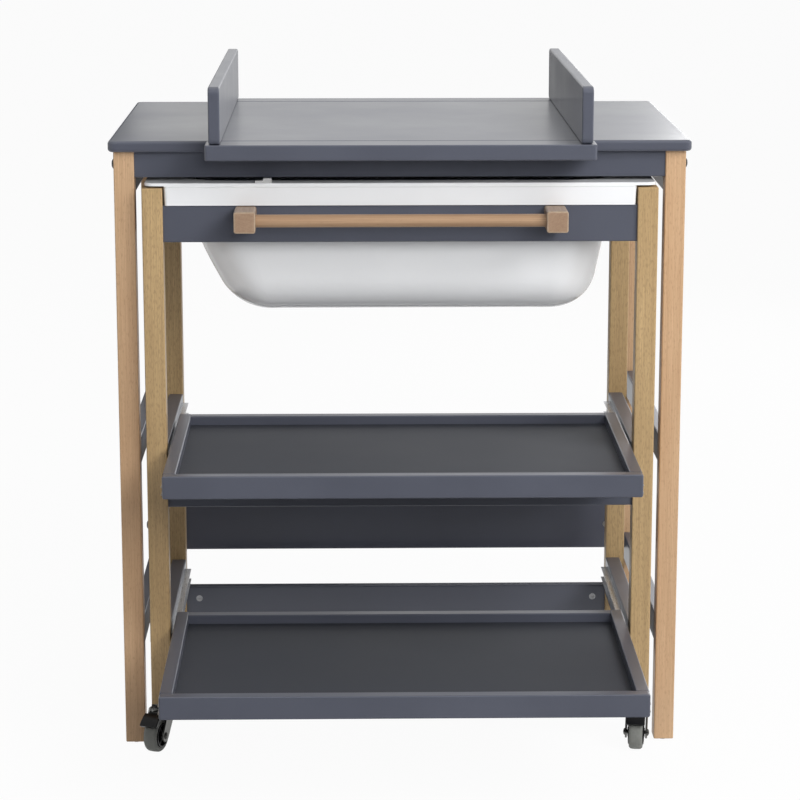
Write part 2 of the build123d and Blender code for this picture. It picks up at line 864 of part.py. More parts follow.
def make_fork(braked):
    """Pressed fork with its riveted axle, trailing towards the front, and a hinge pin if it has a brake."""
    with BuildPart() as fork:
        with BuildSketch(Plane.XY.offset(crown_bottom)):
            Circle(crown_diameter / 2)
        extrude(amount=fork_steel)
        for sign in sides:
            with BuildSketch(Plane.YZ.offset(min(sign * fork_half, sign * (fork_half - fork_steel)))):
                with Locations((0, (crown_bottom + crown_top) / 2)):
                    Rectangle(crown_diameter * crown_flat_share, fork_steel)
                with Locations((-caster_trail, wheel_radius)):
                    Circle(fork_boss_diameter / 2)
                make_hull()
            extrude(amount=fork_steel)
        with BuildSketch(Plane.XY.offset(crown_bottom)):
            Rectangle(2 * fork_half, crown_diameter * crown_flat_share)
        extrude(amount=fork_steel)
        with BuildSketch(Plane.XY.offset(crown_bottom)):
            Circle(kingpin_diameter / 2 + axle_clearance)
        extrude(amount=fork_steel, mode=Mode.SUBTRACT)
        with BuildSketch(Plane.YZ.offset(-fork_half)):
            with Locations((-caster_trail, wheel_radius)):
                Circle(axle_diameter / 2 + axle_clearance)
            if braked:
                with Locations(pedal_hinge):
                    Circle(pedal_pin_diameter / 2 + axle_clearance)
        extrude(amount=2 * fork_half, mode=Mode.SUBTRACT)
    with BuildPart() as axle:
        with BuildSketch(Plane.YZ.offset(-fork_half)):
            with Locations((-caster_trail, wheel_radius)):
                Circle(axle_diameter / 2)
        extrude(amount=2 * fork_half)
        extrude(axle.faces().filter_by(Axis.X), amount=axle_clearance)
        for sign in sides:
            with BuildSketch(Plane.YZ.offset(sign * (fork_half + axle_clearance))):
                with Locations((-caster_trail, wheel_radius)):
                    Circle(axle_head_diameter / 2)
            extrude(amount=sign * axle_head_height)
    pieces = [fork, axle]
    if braked:
        with BuildPart() as pin:
            with BuildSketch(Plane.YZ.offset(-fork_half)):
                with Locations(pedal_hinge):
                    Circle(pedal_pin_diameter / 2)
            extrude(amount=2 * fork_half)
        pieces.append(pin)
    return pieces


def make_wheel():
    """Grey tread on a wider hub, bored for the axle."""
    tread, hub = tread_width / 2, hub_width / 2
    bore = axle_diameter / 2 + axle_clearance
    with BuildPart() as wheel:
        with BuildSketch(Plane.XY) as profile:
            with Locations((0, (wheel_radius + bore) / 2)):
                Rectangle(2 * tread, wheel_radius - bore)
            fillet(profile.vertices().group_by(Axis.Y)[-1], tread_round)
            with Locations((0, (hub_diameter / 2 + bore) / 2)):
                Rectangle(2 * hub, hub_diameter / 2 - bore)
        revolve(axis=Axis.X)
    with BuildPart() as placed:
        with Locations((0, -caster_trail, wheel_radius)):
            add(wheel.part)
    return placed


def pedal_sector(outer, width, start, end):
    """A stretch of a band round the wheel's axle, between two angles measured forward from the top."""
    inner = wheel_radius + pedal_gap
    centre = (-caster_trail, wheel_radius)
    with BuildSketch(Plane.YZ.offset(-width / 2)) as sector:
        with BuildLine():
            outside = CenterArc(centre, outer, upright + start, end - start)
            inside = CenterArc(centre, inner, upright + start, end - start)
            Line(outside @ 0, inside @ 0)
            Line(outside @ 1, inside @ 1)
        make_face()
    return sector


def make_pedal():
    """Brake pedal: a curved cover over the wheel with a thick toe, hinged between the fork's cheeks."""
    inner = wheel_radius + pedal_gap
    cover = pedal_sector(inner + pedal_thickness, pedal_width, pedal_hinge_angle, pedal_toe_angle)
    toe = pedal_sector(inner + pedal_toe_thickness, pedal_toe_width, pedal_toe_start_angle, pedal_toe_angle)
    with BuildPart() as pedal:
        extrude(toe.sketch, amount=pedal_toe_width)
        fillet(pedal.edges(), pedal_toe_edge)
        extrude(cover.sketch, amount=pedal_width)
        with BuildSketch(Plane.YZ.offset(-pedal_width / 2)):
            with Locations(pedal_hinge):
                Circle(pedal_boss_diameter / 2)
        extrude(amount=pedal_width)
        with BuildSketch(Plane.YZ.offset(-pedal_width / 2)):
            with Locations(pedal_hinge):
                Circle(pedal_pin_diameter / 2 + axle_clearance)
        extrude(amount=pedal_width, mode=Mode.SUBTRACT)
    return pedal


def place(pieces, location):
    """The same solids moved to a place, as one sub-part."""
    with BuildPart() as placed:
        for piece in pieces:
            with Locations(location):
                add(piece.part)
    return placed


# Fixed table
keep(make_table_top(), "table_top")
for end, side in corners:
    keep(make_table_leg(end, side), f"table_leg_{end}_{side}")
keep(make_foot_pads(), "foot_pads")
front_apron_z = (slab_under - front_apron_height, slab_under)
rear_apron_z = (slab_under - deep_apron_height, slab_under)
stretcher_z = (stretcher_top - stretcher_height, stretcher_top)
keep(make_bolted_rail(front_rail_y, front_apron_z, apron_bolt_z, 1), "front_apron")
keep(make_bolted_rail(rear_rail_y, rear_apron_z, apron_bolt_z, -1), "rear_apron")
keep(make_bolted_rail(rear_rail_y, stretcher_z, stretcher_bolt_z, -1), "rear_stretcher")
between_table_legs = (leg_front + table_leg_side, leg_rear - table_leg_side)
keep(make_side_rails((slab_under,), deep_apron_height, leg_in, table_rail_thickness, between_table_legs),
     "side_aprons")
keep(make_side_rails(side_rail_tops, side_rail_height, leg_in, table_rail_thickness, between_table_legs),
     "table_side_rails")
keep(make_leg_bolts(), "leg_bolts")
keep(make_barrel_nuts(), "barrel_nuts")

# Changing frame
frame_front_y = (slab_front - frame_seam - frame_front_depth, slab_front - frame_seam)
frame_rear_y = (slab_rear + frame_seam, slab_rear + frame_seam + frame_rear_depth)
keep(make_frame_rail(frame_front_y), "frame_front_rail")
keep(make_frame_rail(frame_rear_y), "frame_rear_rail")
for side in side_signs:
    keep(make_changing_board(side), f"changing_board_{side}")

# Trolley
for end, side in corners:
    keep(make_trolley_leg(end, side), f"trolley_leg_{end}_{side}")
for level in ("upper", "middle", "lower"):
    for end in ("front", "rear"):
        keep(make_cross_rail(level, end), f"trolley_{level}_{end}_rail")
between_trolley_legs = (trolley_front + trolley_leg_side, trolley_rear - trolley_leg_side)
tray_rail_tops = [bottom + side_rail_over_tray_bottom for bottom in (middle_tray_bottom, lower_tray_bottom)]
keep(make_side_rails((upper_rail_top,), upper_rail_height, trolley_in, trolley_side_thickness,
                     between_trolley_legs), "trolley_upper_side_rails")
keep(make_side_rails(tray_rail_tops, trolley_side_height, trolley_in, trolley_side_thickness,
                     between_trolley_legs), "trolley_side_rails")
keep(make_cam_locks(), "cam_locks")
keep(make_grip_blocks(), "grip_blocks")
keep(make_grip_bar(), "grip_bar")
keep(together([make_outer_members(bottom) for bottom in (middle_tray_bottom, lower_tray_bottom)]),
     "runner_outer_members")
keep(make_caster_mounts(), "caster_mounts")

# Bathtub
keep(make_tub(), "bathtub")
keep(make_drain_plug(), "drain_plug")
keep(make_rim_clip(), "rim_clip")

# Trays and their runners
for level, bottom, out in (("middle", middle_tray_bottom, middle_tray_out),
                           ("lower", lower_tray_bottom, lower_tray_out)):
    keep(make_tray_front(bottom, out), f"{level}_tray_front")
    keep(make_tray_back(bottom, out), f"{level}_tray_back")
    keep(make_tray_sides(bottom, out), f"{level}_tray_sides")
    keep(make_tray_floor(bottom, out), f"{level}_tray_floor")
    keep(make_inner_members(bottom, out), f"{level}_runner_inner_members")
    keep(make_middle_members(bottom, out), f"{level}_runner_middle_members")

# Casters
plain_fork, braked_fork, wheel, pedal = make_fork(False), make_fork(True), make_wheel(), make_pedal()
for name in caster_yaws:
    fork = braked_fork if name in braked_casters else plain_fork
    keep(place(fork, caster_place(name)), f"caster_fork_{name}")
    keep(place([wheel], caster_place(name)), f"caster_wheel_{name}")
    if name in braked_casters:
        keep(place([pedal], caster_place(name)), f"brake_pedal_{name}")
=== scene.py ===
"""Finishes the changing table with its bathtub: paint, wood, plastic and steel, and a studio round it.

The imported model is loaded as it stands. Every operator finishes one piece or one group of like pieces, in
metres, with X to the user's right, Y away from the user and Z up.
"""
import json
from math import cos, pi, radians, sin

import bmesh
import bpy
from bpy.props import FloatProperty, FloatVectorProperty, PointerProperty
from mathutils import Euler, Matrix, Vector


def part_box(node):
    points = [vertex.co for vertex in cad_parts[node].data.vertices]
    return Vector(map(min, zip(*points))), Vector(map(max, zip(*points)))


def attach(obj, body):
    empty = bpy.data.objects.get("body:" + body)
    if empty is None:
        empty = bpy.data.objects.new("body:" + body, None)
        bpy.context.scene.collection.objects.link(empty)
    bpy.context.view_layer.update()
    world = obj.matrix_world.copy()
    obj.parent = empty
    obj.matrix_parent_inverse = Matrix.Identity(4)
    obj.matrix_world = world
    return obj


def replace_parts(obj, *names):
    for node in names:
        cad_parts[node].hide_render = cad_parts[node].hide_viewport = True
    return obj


bl_info = {
    "name": "Changing Table Finishes",
    "version": (1, 0, 0),
    "blender": (4, 5, 0),
    "location": "3D View > Sidebar > Changing Table",
    "description": "Paint, wood, plastic and steel for a changing table with a bathtub",
    "category": "Object",
}

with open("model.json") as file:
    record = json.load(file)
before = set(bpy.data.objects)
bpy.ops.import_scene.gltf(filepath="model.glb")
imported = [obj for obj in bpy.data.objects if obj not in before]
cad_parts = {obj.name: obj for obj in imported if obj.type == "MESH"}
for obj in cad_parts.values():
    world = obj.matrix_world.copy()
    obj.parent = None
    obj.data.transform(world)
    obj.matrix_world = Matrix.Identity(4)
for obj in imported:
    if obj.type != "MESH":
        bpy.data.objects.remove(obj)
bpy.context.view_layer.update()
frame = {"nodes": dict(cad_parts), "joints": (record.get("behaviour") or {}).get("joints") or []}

CORNERS = ("front_left", "front_right", "rear_left", "rear_right")
BRAKED = ("front_left", "front_right")
TRAYS = ("middle", "lower")

WHITE = (1.0, 1.0, 1.0, 1.0)
# Where most of a soft noise lies between 0 and 1
MOST = (0.3, 0.7)

# The soft lamps: width and height, place, the point that each faces, and whether satin paint may mirror it
LAMPS = {
    "key": ((1.9, 1.6), (2.35, -2.2, 2.9), (0.0, 0.0, 0.5), False),
    "fill": ((1.8, 1.8), (-2.6, -2.2, 1.9), (0.0, 0.0, 0.5), True),
    "top": ((3.0, 2.4), (0.0, 0.3, 4.5), (0.0, 0.1, 0.5), True),
    "front": ((3.0, 1.3), (1.15, -3.6, 2.05), (0.0, 0.0, 0.65), False),
    "back": ((2.2, 1.5), (1.75, 3.0, 1.65), (0.0, 0.1, 0.8), True),
}
# The dark cards that only reflections show: two opposite corners of each
FLAGS = {
    "flag_behind_left": ((-3.2, 2.6, 0.05), (-0.60, 2.6, 1.7)),
    "flag_behind_low": ((-0.60, 2.6, 0.05), (-0.05, 2.6, 0.9)),
    "flag_in_front": ((-6.0, -6.5, 0.05), (6.0, -6.5, 4.0)),
    "flag_on_floor": ((-6.0, -6.5, 0.006), (6.0, -0.3, 0.006)),
}


# Nodes and meshes

def add_node(tree, kind, settings, inputs):
    """Adds a shader node; an input given as another node's socket is linked, any other value is set."""
    made = tree.nodes.new(kind)
    for key, value in settings.items():
        setattr(made, key, value)
    for key, value in inputs.items():
        if isinstance(value, bpy.types.NodeSocket):
            tree.links.new(value, made.inputs[key])
        else:
            made.inputs[key].default_value = value
    return made


def reckon(tree, operation, *values):
    """The result of one sum on numbers or sockets."""
    return add_node(tree, "ShaderNodeMath", {"operation": operation}, dict(enumerate(values))).outputs[0]


def new_finish(name, constants):
    """A material with one surface shader, whose constants are set on its own sockets."""
    finish = bpy.data.materials.new(name)
    finish.use_nodes = True
    tree = finish.node_tree
    tree.nodes.clear()
    shader = add_node(tree, "ShaderNodeBsdfPrincipled", {}, constants)
    add_node(tree, "ShaderNodeOutputMaterial", {}, {"Surface": shader.outputs["BSDF"]})
    return finish, tree, shader


def piece_coordinates(tree, axis="x", share=1.0):
    """The piece's own coordinates, squeezed to a share along one axis so that marks grow long there."""
    squeeze = [1.0, 1.0, 1.0]
    squeeze["xyz".index(axis)] = share
    place = add_node(tree, "ShaderNodeTexCoord", {}, {})
    mapping = add_node(tree, "ShaderNodeMapping", {}, {"Vector": place.outputs["Object"], "Scale": squeeze})
    return mapping.outputs["Vector"]


def cloudy(tree, coordinates, per_metre, detail, roughness):
    """Soft noise between 0 and 1, with so many clouds to the metre."""
    noise = add_node(tree, "ShaderNodeTexNoise", {}, {
        "Vector": coordinates, "Scale": per_metre, "Detail": detail, "Roughness": roughness})
    return noise.outputs["Fac"]


def spread(tree, value, low, high, to_low=0.0, to_high=1.0):
    """Stretches a value from one range to another, and keeps it there."""
    mapped = add_node(tree, "ShaderNodeMapRange", {"clamp": True}, {
        "Value": value, "From Min": low, "From Max": high, "To Min": to_low, "To Max": to_high})
    return mapped.outputs["Result"]


def between(tree, share, first, second):
    """A colour between two colours."""
    mix = add_node(tree, "ShaderNodeMix", {"data_type": "RGBA", "blend_type": "MIX"}, {})
    for socket, value in ((mix.inputs[0], share), (mix.inputs[6], first), (mix.inputs[7], second)):
        if isinstance(value, bpy.types.NodeSocket):
            tree.links.new(value, socket)
        elif isinstance(value, float):
            socket.default_value = value
        else:
            socket.default_value = (*value[:3], 1.0)
    return mix.outputs[2]


def relief(tree, shader, layers):
    """Bumps the surface with several layers, each a height, a depth in metres and a strength."""
    normal = None
    for height, depth, strength in layers:
        inputs = {"Height": height, "Distance": depth, "Strength": strength}
        if normal is not None:
            inputs["Normal"] = normal
        normal = add_node(tree, "ShaderNodeBump", {}, inputs).outputs["Normal"]
    tree.links.new(normal, shader.inputs["Normal"])


def shade(colour, factor):
    """A colour made darker or lighter."""
    return tuple(channel * factor for channel in colour[:3])


def finish_nodes(names, finish):
    """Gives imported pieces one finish."""
    for name in names:
        mesh = frame["nodes"][name].data
        mesh.materials.clear()
        mesh.materials.append(finish)


def softened(corners, radius, steps=3):
    """A closed profile, each corner rounded off by a short curve that takes less than half of a side."""
    side_share = 2.2
    points = []
    for index, corner in enumerate(corners):
        here = Vector(corner)
        before = Vector(corners[index - 1]) - here
        after = Vector(corners[(index + 1) % len(corners)]) - here
        reach = min(radius, before.length / side_share, after.length / side_share)
        first = here + before.normalized() * reach
        last = here + after.normalized() * reach
        for step in range(steps + 1):
            share = step / steps
            points.append(first * (1 - share) ** 2 + here * 2 * share * (1 - share) + last * share ** 2)
    return points


def both_sides(half_profile, crest=()):
    """A profile across a wheel: one half mirrored, what lies in the middle, and the half itself."""
    return [(-along, radius) for along, radius in half_profile] + list(crest) + half_profile[::-1]


def turned(shape, profile, place, axis, segments):
    """Turns a closed profile, each point a distance along the axis and a radius, about an axis."""
    aim = Vector((0.0, 0.0, 1.0)).rotation_difference(Vector(axis)).to_matrix()
    rings = []
    for step in range(segments):
        angle = 2 * pi * step / segments
        spots = [Vector((radius * cos(angle), radius * sin(angle), along)) for along, radius in profile]
        rings.append([shape.verts.new(Vector(place) + aim @ spot) for spot in spots])
    for step, ring in enumerate(rings):
        following = rings[(step + 1) % segments]
        for point in range(len(profile)):
            after = (point + 1) % len(profile)
            shape.faces.new((ring[point], following[point], following[after], ring[after]))


def ribs(shape, count, inner, outer, thickness, low, high, place, axis):
    """Radial ribs round an axis, each with a narrower outer end and a rounded-off crest."""
    shoulder, crest = 0.9, 0.5
    aim = Vector((0.0, 0.0, 1.0)).rotation_difference(Vector(axis)).to_matrix()
    for number in range(count):
        turn = Matrix.Rotation(2 * pi * number / count, 3, "Z")
        sections = []
        for radius, half in ((inner, thickness / 2), (outer, thickness / 3)):
            outline = ((-half, low), (-half, high * shoulder), (-half * crest, high), (half * crest, high),
                       (half, high * shoulder), (half, low))
            sections.append([shape.verts.new(Vector(place) + aim @ (turn @ Vector((radius, across, along))))
                             for across, along in outline])
        near, far = sections
        for point in range(len(near)):
            after = (point + 1) % len(near)
            shape.faces.new((near[point], near[after], far[after], far[point]))
        shape.faces.new(near)
        shape.faces.new(far)


def add_piece(name, shape, body, finish):
    """Makes a piece from a built shape: smooth where round, sharp where it turns, riding on one body."""
    sharp = radians(32.0)
    bmesh.ops.recalc_face_normals(shape, faces=shape.faces)
    for face in shape.faces:
        face.smooth = True
    for edge in shape.edges:
        edge.smooth = edge.is_manifold and edge.calc_face_angle(0.0) < sharp
    mesh = bpy.data.meshes.new(name)
    shape.to_mesh(mesh)
    shape.free()
    mesh.materials.append(finish)
    piece = bpy.data.objects.new(name, mesh)
    bpy.context.scene.collection.objects.link(piece)
    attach(piece, body)
    return piece


# Finishes

def painted_wood(name, paint, roughness, grain_axis, shine=0.5, coat=0.12):
    """Satin paint over wood: even colour, faint clouding, fine spray texture and grain that barely shows."""
    finish, tree, shader = new_finish(name, {
        "IOR": 1.5, "Specular IOR Level": shine, "Coat Weight": coat, "Coat Roughness": 0.2})
    flat = piece_coordinates(tree)
    clouds = cloudy(tree, flat, per_metre=6.0, detail=3.0, roughness=0.55)
    specks = cloudy(tree, flat, per_metre=900.0, detail=2.0, roughness=0.6)
    spray = cloudy(tree, flat, per_metre=480.0, detail=2.0, roughness=0.5)
    drawn = piece_coordinates(tree, grain_axis, 0.035)
    fibres = cloudy(tree, drawn, per_metre=620.0, detail=4.0, roughness=0.6)
    dark, light, speckle = shade(paint, 0.94), shade(paint, 1.07), shade(paint, 1.35)
    tone = between(tree, spread(tree, clouds, *MOST), dark, light)
    tone = between(tree, spread(tree, specks, 0.35, 0.65, to_high=0.10), tone, speckle)
    tree.links.new(tone, shader.inputs["Base Color"])
    rough = spread(tree, clouds, 0.25, 0.75, roughness - 0.035, roughness + 0.045)
    tree.links.new(rough, shader.inputs["Roughness"])
    relief(tree, shader, ((fibres, 0.00016, 0.22), (spray, 0.00008, 0.16)))
    return finish


def varnished_wood(name, pale, deep, grain_axis, ring_gap, variety, pores=0.22, open_grain=0.66):
    """Clear satin varnish over straight-grained wood: growth rings, streaks, fibres and short dark pores.

    Variety moves the rings from one piece to the next, and pores says how dark the pores are. The lower the
    open grain, the more pores there are.
    """
    finish, tree, shader = new_finish(name, {"IOR": 1.5, "Coat Weight": 0.10, "Coat Roughness": 0.3})
    rings = add_node(tree, "ShaderNodeTexWave", {
        "wave_type": "RINGS", "rings_direction": grain_axis.upper(), "wave_profile": "SAW"}, {
        "Vector": piece_coordinates(tree, grain_axis, 0.08), "Scale": 0.5 / ring_gap, "Distortion": 5.0,
        "Detail": 3.0, "Detail Scale": 0.55, "Detail Roughness": 0.55, "Phase Offset": variety})
    broad, fibres, streaks, flecks = [
        cloudy(tree, piece_coordinates(tree, grain_axis, share), per_metre, detail, roughness)
        for share, per_metre, detail, roughness in (
            (0.16, 11.0, 3.0, 0.55),
            (0.018, 950.0, 5.0, 0.62),
            (0.012, 300.0, 3.0, 0.6),
            (0.22, 640.0, 1.0, 0.4))]
    tone = between(tree, spread(tree, broad, 0.32, 0.68), pale, between(tree, 0.42, pale, deep))
    for marks, low, high, strongest in (
            (rings.outputs["Fac"], 0.15, 1.0, 0.34),
            (streaks, 0.36, 0.70, 0.42),
            (fibres, 0.38, 0.72, 0.36)):
        tone = between(tree, spread(tree, marks, low, high, to_high=strongest), tone, deep)
    pore_share = spread(tree, flecks, open_grain, open_grain + 0.12, to_high=pores)
    tone = between(tree, pore_share, tone, shade(deep, 0.8))
    tree.links.new(tone, shader.inputs["Base Color"])
    tree.links.new(spread(tree, fibres, *MOST, 0.40, 0.52), shader.inputs["Roughness"])
    relief(tree, shader, ((fibres, 0.00012, 0.20), (flecks, 0.00005, 0.08)))
    return finish


def painted_edge_highlights(finish, middle, half, reach, highlight_colour):
    """Painted highlight: lightens the wood along the edges of two blocks that lie equally far left and right
    of the middle.
    """
    tree = finish.node_tree
    shader = next(part for part in tree.nodes if part.type == "BSDF_PRINCIPLED")
    colour = shader.inputs["Base Color"].links[0].from_socket
    place = add_node(tree, "ShaderNodeTexCoord", {}, {})
    split = add_node(tree, "ShaderNodeSeparateXYZ", {}, {"Vector": place.outputs["Object"]})
    fully_highlighted = reach * 0.2
    near = []
    for axis in range(3):
        along = reckon(tree, "ABSOLUTE", split.outputs[axis])
        off = reckon(tree, "ABSOLUTE", reckon(tree, "SUBTRACT", along, abs(middle[axis])))
        near.append(spread(tree, off, half[axis] - reach, half[axis] - fully_highlighted))
    pairs = ((0, 1), (1, 2), (0, 2))
    edges = [reckon(tree, "MULTIPLY", near[first], near[second]) for first, second in pairs]
    edge = reckon(tree, "MAXIMUM", reckon(tree, "MAXIMUM", edges[0], edges[1]), edges[2])
    patchy = cloudy(tree, piece_coordinates(tree), per_metre=160.0, detail=3.0, roughness=0.6)
    # Painted highlight along the edges, broken into patches
    highlight_share = reckon(tree, "MULTIPLY", edge, spread(tree, patchy, 0.3, 0.6, to_low=0.35))
    tree.links.new(between(tree, highlight_share, colour, highlight_colour), shader.inputs["Base Color"])


def moulded_plastic(name, colour, tint, roughness, coat, grain, depth, shine=0.5):
    """Moulded plastic: a faint waviness, small changes of tone and a fine grain, so many to the metre."""
    finish, tree, shader = new_finish(name, {
        "IOR": 1.49, "Specular IOR Level": shine, "Coat Weight": coat, "Coat Roughness": 0.06})
    flat = piece_coordinates(tree)
    clouds = cloudy(tree, flat, per_metre=9.0, detail=2.0, roughness=0.5)
    grains = cloudy(tree, flat, grain, detail=2.0, roughness=0.55)
    tree.links.new(between(tree, spread(tree, clouds, *MOST), colour, tint), shader.inputs["Base Color"])
    rough = spread(tree, clouds, *MOST, roughness - 0.03, roughness + 0.04)
    tree.links.new(rough, shader.inputs["Roughness"])
    relief(tree, shader, ((clouds, 0.0010, 0.10), (grains, depth, 0.2)))
    return finish


def plated_steel(name, colour, roughness, draw_axis):
    """Zinc-plated or burnished steel: drawn lines along one axis and a mottled plating."""
    finish, tree, shader = new_finish(name, {"Metallic": 1.0})
    drawn = piece_coordinates(tree, draw_axis, 0.02)
    lines = cloudy(tree, drawn, per_metre=1600.0, detail=3.0, roughness=0.6)
    mottle = cloudy(tree, piece_coordinates(tree), per_metre=160.0, detail=3.0, roughness=0.6)
    tone = between(tree, spread(tree, mottle, *MOST), shade(colour, 0.86), shade(colour, 1.08))
    tree.links.new(tone, shader.inputs["Base Color"])
    rough = spread(tree, lines, *MOST, roughness - 0.06, roughness + 0.10)
    tree.links.new(rough, shader.inputs["Roughness"])
    relief(tree, shader, ((lines, 0.00004, 0.25),))
    return finish


def rubber(name, colour, dust):
    """Matt rubber with a fine moulded grain and a little dust in it."""
    finish, tree, shader = new_finish(name, {"IOR": 1.46})
    flat = piece_coordinates(tree)
    dusty = cloudy(tree, flat, per_metre=130.0, detail=4.0, roughness=0.65)
    grain = cloudy(tree, flat, per_metre=1500.0, detail=2.0, roughness=0.5)
    tone = between(tree, spread(tree, dusty, 0.45, 0.8, to_high=0.55), colour, dust)
    tree.links.new(tone, shader.inputs["Base Color"])
    tree.links.new(spread(tree, dusty, *MOST, 0.52, 0.70), shader.inputs["Roughness"])
    relief(tree, shader, ((grain, 0.00006, 0.3),))
    return finish


# Sizes and colours that a user would change

class PaintSettings(bpy.types.PropertyGroup):
    """The grey paint."""
    colour: FloatVectorProperty(
        name="Paint", description="Colour of the painted wood", subtype="COLOR", size=3, min=0.0, max=1.0,
        default=(0.087, 0.0935, 0.121))
    # Painted shade: the grey paint darkened to about half, for the tray floors that lie in shade inside the
    # trolley
    tray_floor: FloatVectorProperty(
        name="Tray floor", description="Colour of the thin tray floors: the grey paint darkened by painted shade", subtype="COLOR", size=3, min=0.0,
        max=1.0, default=(0.045, 0.048, 0.058))
    roughness: FloatProperty(
        name="Paint roughness", description="How matt the satin paint is", subtype="FACTOR", min=0.05,
        max=1.0, default=0.32)
    floor_roughness: FloatProperty(
        name="Tray floor roughness", description="How matt the tray floors are", subtype="FACTOR", min=0.05,
        max=1.0, default=0.60)


class WoodSettings(bpy.types.PropertyGroup):
    """The varnished woods."""
    beech_pale: FloatVectorProperty(
        name="Beech, pale", description="Early wood of the table's legs", subtype="COLOR", size=3, min=0.0,
        max=1.0, default=(0.74, 0.515, 0.318))
    beech_deep: FloatVectorProperty(
        name="Beech, deep", description="Late wood of the table's legs", subtype="COLOR", size=3, min=0.0,
        max=1.0, default=(0.40, 0.225, 0.112))
    pale_wood: FloatVectorProperty(
        name="Pale wood, light", description="Early wood of the trolley's legs", subtype="COLOR", size=3,
        min=0.0, max=1.0, default=(0.65, 0.46, 0.236))
    pale_wood_deep: FloatVectorProperty(
        name="Pale wood, deep", description="Late wood of the trolley's legs", subtype="COLOR", size=3,
        min=0.0, max=1.0, default=(0.30, 0.19, 0.087))
    bar_pale: FloatVectorProperty(
        name="Push bar, pale", description="Early wood of the push bar", subtype="COLOR", size=3, min=0.0,
        max=1.0, default=(0.54, 0.365, 0.225))
    bar_deep: FloatVectorProperty(
        name="Push bar, deep", description="Late wood of the push bar", subtype="COLOR", size=3, min=0.0,
        max=1.0, default=(0.24, 0.13, 0.070))
    block_pale: FloatVectorProperty(
        name="Blocks, pale", description="Early wood of the push bar's blocks", subtype="COLOR", size=3,
        min=0.0, max=1.0, default=(0.44, 0.305, 0.205))
    block_deep: FloatVectorProperty(
        name="Blocks, deep", description="Late wood of the push bar's blocks", subtype="COLOR", size=3,
        min=0.0, max=1.0, default=(0.23, 0.137, 0.086))
    # A painted highlight: a lighter wood colour laid along the edges of the blocks, and how far in it
    # reaches
    block_edge_highlight: FloatVectorProperty(
        name="Edge highlights", description="Painted highlight along the edges of the blocks", subtype="COLOR", size=3,
        min=0.0, max=1.0, default=(0.46, 0.36, 0.26))
    edge_highlight_reach: FloatProperty(
        name="Highlight reach", description="How far the painted highlight reaches in from the edges of the blocks",
        subtype="DISTANCE", unit="LENGTH", min=0.0005, max=0.01, default=0.0026)
    ring_gap: FloatProperty(
        name="Ring gap", description="Distance between growth rings", subtype="DISTANCE", unit="LENGTH",
        min=0.001, max=0.02, default=0.0035)


class HardwareSettings(bpy.types.PropertyGroup):
    """Metal pieces and the table's foot pads."""
    bolts: FloatVectorProperty(
        name="Bolts", description="Burnished steel of the leg bolts", subtype="COLOR", size=3, min=0.0,
        max=1.0, default=(0.055, 0.050, 0.048))
    nuts: FloatVectorProperty(
        name="Barrel nuts", description="Zinc plating of the barrel nuts", subtype="COLOR", size=3, min=0.0,
        max=1.0, default=(0.60, 0.61, 0.63))
    cams: FloatVectorProperty(
        name="Cam locks", description="Zinc of the cam locks", subtype="COLOR", size=3, min=0.0, max=1.0,
        default=(0.36, 0.365, 0.38))
    runners: FloatVectorProperty(
        name="Runners", description="Zinc plating of the telescopic runners", subtype="COLOR", size=3,
        min=0.0, max=1.0, default=(0.58, 0.59, 0.61))
    pads: FloatVectorProperty(
        name="Foot pads", description="Colour of the foot pads", subtype="COLOR", size=3, min=0.0, max=1.0,
        default=(0.018, 0.017, 0.018))
    pads_tint: FloatVectorProperty(
        name="Foot pads, tint", description="Lighter tone in the foot pads", subtype="COLOR", size=3,
        min=0.0, max=1.0, default=(0.026, 0.024, 0.024))


class TubSettings(bpy.types.PropertyGroup):
    """The bathtub, its plug and its clip."""
    colour: FloatVectorProperty(
        name="Tub", description="Colour of the bathtub", subtype="COLOR", size=3, min=0.0, max=1.0,
        default=(0.84, 0.848, 0.86))
    roughness: FloatProperty(
        name="Tub roughness", description="How matt the tub is", subtype="FACTOR", min=0.02, max=1.0,
        default=0.20)
    head_round: FloatProperty(
        name="Head round", description="How far the foot of the sloping end is drawn in", subtype="DISTANCE",
        unit="LENGTH", min=0.0, max=0.03, default=0.017)
    head_round_height: FloatProperty(
        name="Head round height", description="How far below the rim the head end starts to draw in",
        subtype="DISTANCE", unit="LENGTH", min=0.05, max=0.18, default=0.097)
    clip: FloatVectorProperty(
        name="Clip", description="Colour of the clip on the rim", subtype="COLOR", size=3, min=0.0, max=1.0,
        default=(0.46, 0.46, 0.46))
    clip_tint: FloatVectorProperty(
        name="Clip, tint", description="Lighter tone in the clip", subtype="COLOR", size=3, min=0.0, max=1.0,
        default=(0.52, 0.52, 0.52))
    plug: FloatVectorProperty(
        name="Plug", description="Colour of the drain plug", subtype="COLOR", size=3, min=0.0, max=1.0,
        default=(0.52, 0.54, 0.57))
    plug_dust: FloatVectorProperty(
        name="Plug, dust", description="Dust on the drain plug", subtype="COLOR", size=3, min=0.0, max=1.0,
        default=(0.62, 0.63, 0.65))


